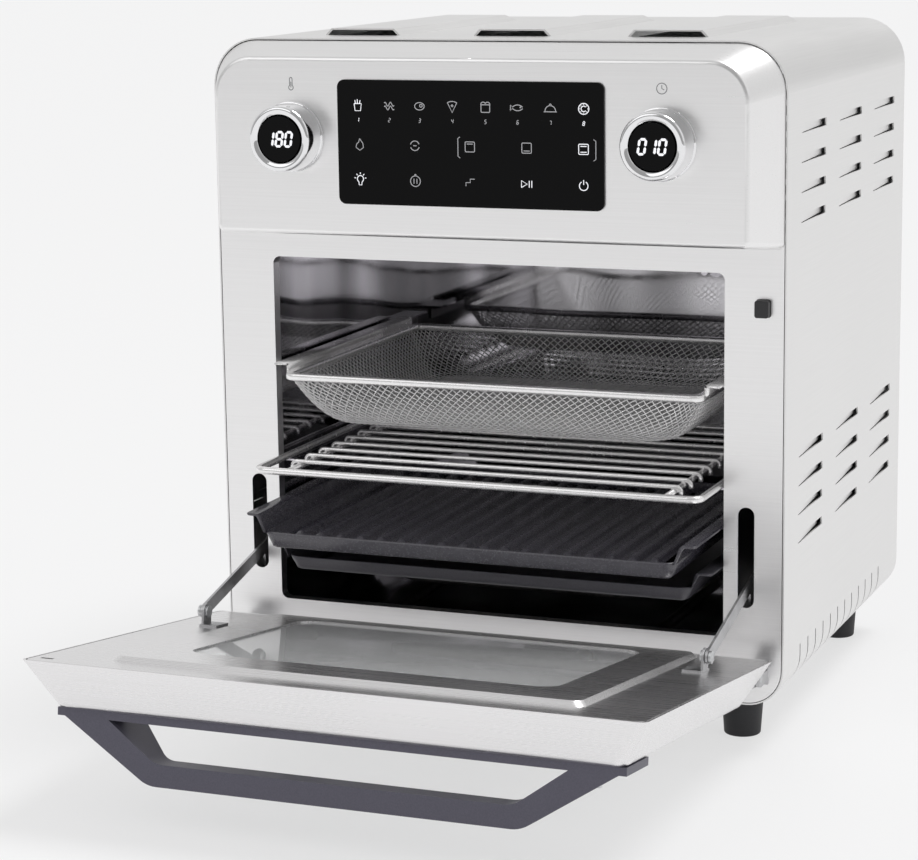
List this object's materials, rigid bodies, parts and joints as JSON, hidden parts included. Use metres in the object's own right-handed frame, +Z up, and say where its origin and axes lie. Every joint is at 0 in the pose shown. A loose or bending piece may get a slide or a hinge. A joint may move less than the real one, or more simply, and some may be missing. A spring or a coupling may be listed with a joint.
{
  "type": "air fryer oven",
  "caption": "Countertop air fryer oven with drop-down glass door, fry basket, wire rack, grill pan, drip tray, touch panel and two round display knobs.",
  "frame": {"origin": "bottom centre of the box round the oven as it stands with its door open", "axes": "+Z up, the door and controls face -Y, +X is to the right seen from the front"},
  "size_m": [0.32, 0.4974, 0.3731],
  "materials": {
    "brushed_steel": "fine horizontal brush",
    "sheet_steel": "plain rolled sheet",
    "polished_steel": "polished cavity lining",
    "chrome_wire": "bright chromed wire",
    "zinc": "zinc plated",
    "black_enamel": "dark non-stick coating",
    "black_plastic": "fine matt",
    "grey_plastic": "fine matt",
    "black_glass": "opaque black, gloss",
    "clear_glass": "clear tempered",
    "ceramic": "glazed ceramic",
    "heater_sheath": "dark oxidised steel",
    "silicone": "matt silicone",
    "aluminium": "plain",
    "board": "green laminate"
  },
  "bodies": {
    "housing": {"base_pan": "sheet_steel", "board_studs": "zinc", "control_board": "board", "control_fascia": "brushed_steel", "cord_gland": "black_plastic", "display_lenses": "black_glass", "display_stems": "black_plastic", "door_switch": "black_plastic", "element_bushings": "ceramic", "fan_guard": "polished_steel", "fan_housing": "sheet_steel", "fan_motor": "zinc", "feet": "silicone", "front_frame": "brushed_steel", "guide_rails_left": "polished_steel", "guide_rails_right": "polished_steel", "hinge_brackets": "sheet_steel", "hinge_pins": "zinc", "lamp_bulb": "clear_glass", "lamp_cup": "sheet_steel", "lamp_lens": "clear_glass", "liner_back": "polished_steel", "liner_ceiling": "polished_steel", "liner_floor": "polished_steel", "liner_left": "polished_steel", "liner_right": "polished_steel", "lower_element": "heater_sheath", "outer_shell": "brushed_steel", "power_board": "board", "rear_cover": "sheet_steel", "rear_screws": "zinc", "spit_motor": "black_plastic", "temperature_probe": "polished_steel", "thermal_cutout": "black_plastic", "touch_glass": "black_glass", "upper_element": "heater_sheath"},
    "door": {"door_outer_panel": "brushed_steel", "door_inner_panel": "brushed_steel", "door_inner_glass": "clear_glass", "door_outer_glass": "clear_glass", "glass_retainer": "silicone", "handle": "grey_plastic", "handle_screws": "zinc", "door_knuckles": "sheet_steel", "link_ears": "sheet_steel", "link_rivets": "zinc"},
    "link_left": {"link_left": "sheet_steel"},
    "link_right": {"link_right": "sheet_steel"},
    "basket": {"basket_rim": "chrome_wire", "basket_mesh": "chrome_wire"},
    "rack": {"wire_rack": "chrome_wire"},
    "pan": {"grill_pan": "black_enamel"},
    "tray": {"drip_tray": "black_enamel"},
    "knob_left": {"knob_ring_left": "chrome_wire"},
    "knob_right": {"knob_ring_right": "chrome_wire"},
    "rotor": {"convection_fan": "aluminium", "cooling_fan": "black_plastic", "fan_shaft": "zinc"},
    "spit": {"spit_socket": "zinc"},
    "plunger": {"switch_plunger": "grey_plastic"}
  },
  "joints": [
    {"name": "door_hinge", "type": "hinge", "parent": "housing", "child": "door", "pos_m": [0, -0.033, 0.0435], "axis": [-1, 0, 0], "range_deg": [0, 82.33]},
    {"name": "link_left_rivet", "type": "hinge", "parent": "door", "child": "link_left", "pos_m": [-0.1395, -0.09012, 0.06885], "axis": [1, 0, 0], "range_deg": [0, 74.93]},
    {"name": "link_right_rivet", "type": "hinge", "parent": "door", "child": "link_right", "pos_m": [0.1395, -0.09012, 0.06885], "axis": [1, 0, 0], "range_deg": [0, 74.93]},
    {"name": "basket_slide", "type": "slide", "parent": "housing", "child": "basket", "axis": [0, 1, 0], "range_m": [-0.12, 0.017]},
    {"name": "rack_slide", "type": "slide", "parent": "housing", "child": "rack", "axis": [0, 1, 0], "range_m": [-0.12, 0.043]},
    {"name": "pan_slide", "type": "slide", "parent": "housing", "child": "pan", "axis": [0, 1, 0], "range_m": [-0.12, 0.054]},
    {"name": "tray_slide", "type": "slide", "parent": "housing", "child": "tray", "axis": [0, 1, 0], "range_m": [-0.12, 0.025]},
    {"name": "switch_plunger_slide", "type": "slide", "parent": "housing", "child": "plunger", "axis": [0, 1, 0], "range_m": [0, 0.0016]},
    {"name": "knob_left_turn", "type": "hinge", "parent": "housing", "child": "knob_left", "pos_m": [-0.102, -0.0625, 0.3193], "axis": [0, -1, 0], "continuous": true},
    {"name": "knob_right_turn", "type": "hinge", "parent": "housing", "child": "knob_right", "pos_m": [0.102, -0.0625, 0.3193], "axis": [0, -1, 0], "continuous": true},
    {"name": "fan_spin", "type": "hinge", "parent": "housing", "child": "rotor", "pos_m": [0, 0.0925, 0.2704], "axis": [0, 0, 1], "continuous": true},
    {"name": "spit_spin", "type": "hinge", "parent": "housing", "child": "spit", "pos_m": [0.1293, 0.0955, 0.153], "axis": [1, 0, 0], "continuous": true}
  ],
  "couplings": [
    {"joint": "link_left_rivet", "follows": "door_hinge", "ratio": 0.91012},
    {"joint": "link_right_rivet", "follows": "door_hinge", "ratio": 0.91012},
    {"joint": "basket_slide", "follows": "door_hinge", "m_per_rad": 0.011831},
    {"joint": "rack_slide", "follows": "door_hinge", "m_per_rad": 0.029925},
    {"joint": "pan_slide", "follows": "door_hinge", "m_per_rad": 0.03758},
    {"joint": "tray_slide", "follows": "door_hinge", "m_per_rad": 0.017398},
    {"joint": "switch_plunger_slide", "follows": "door_hinge", "m_per_rad": 0.0011134}
  ]
}
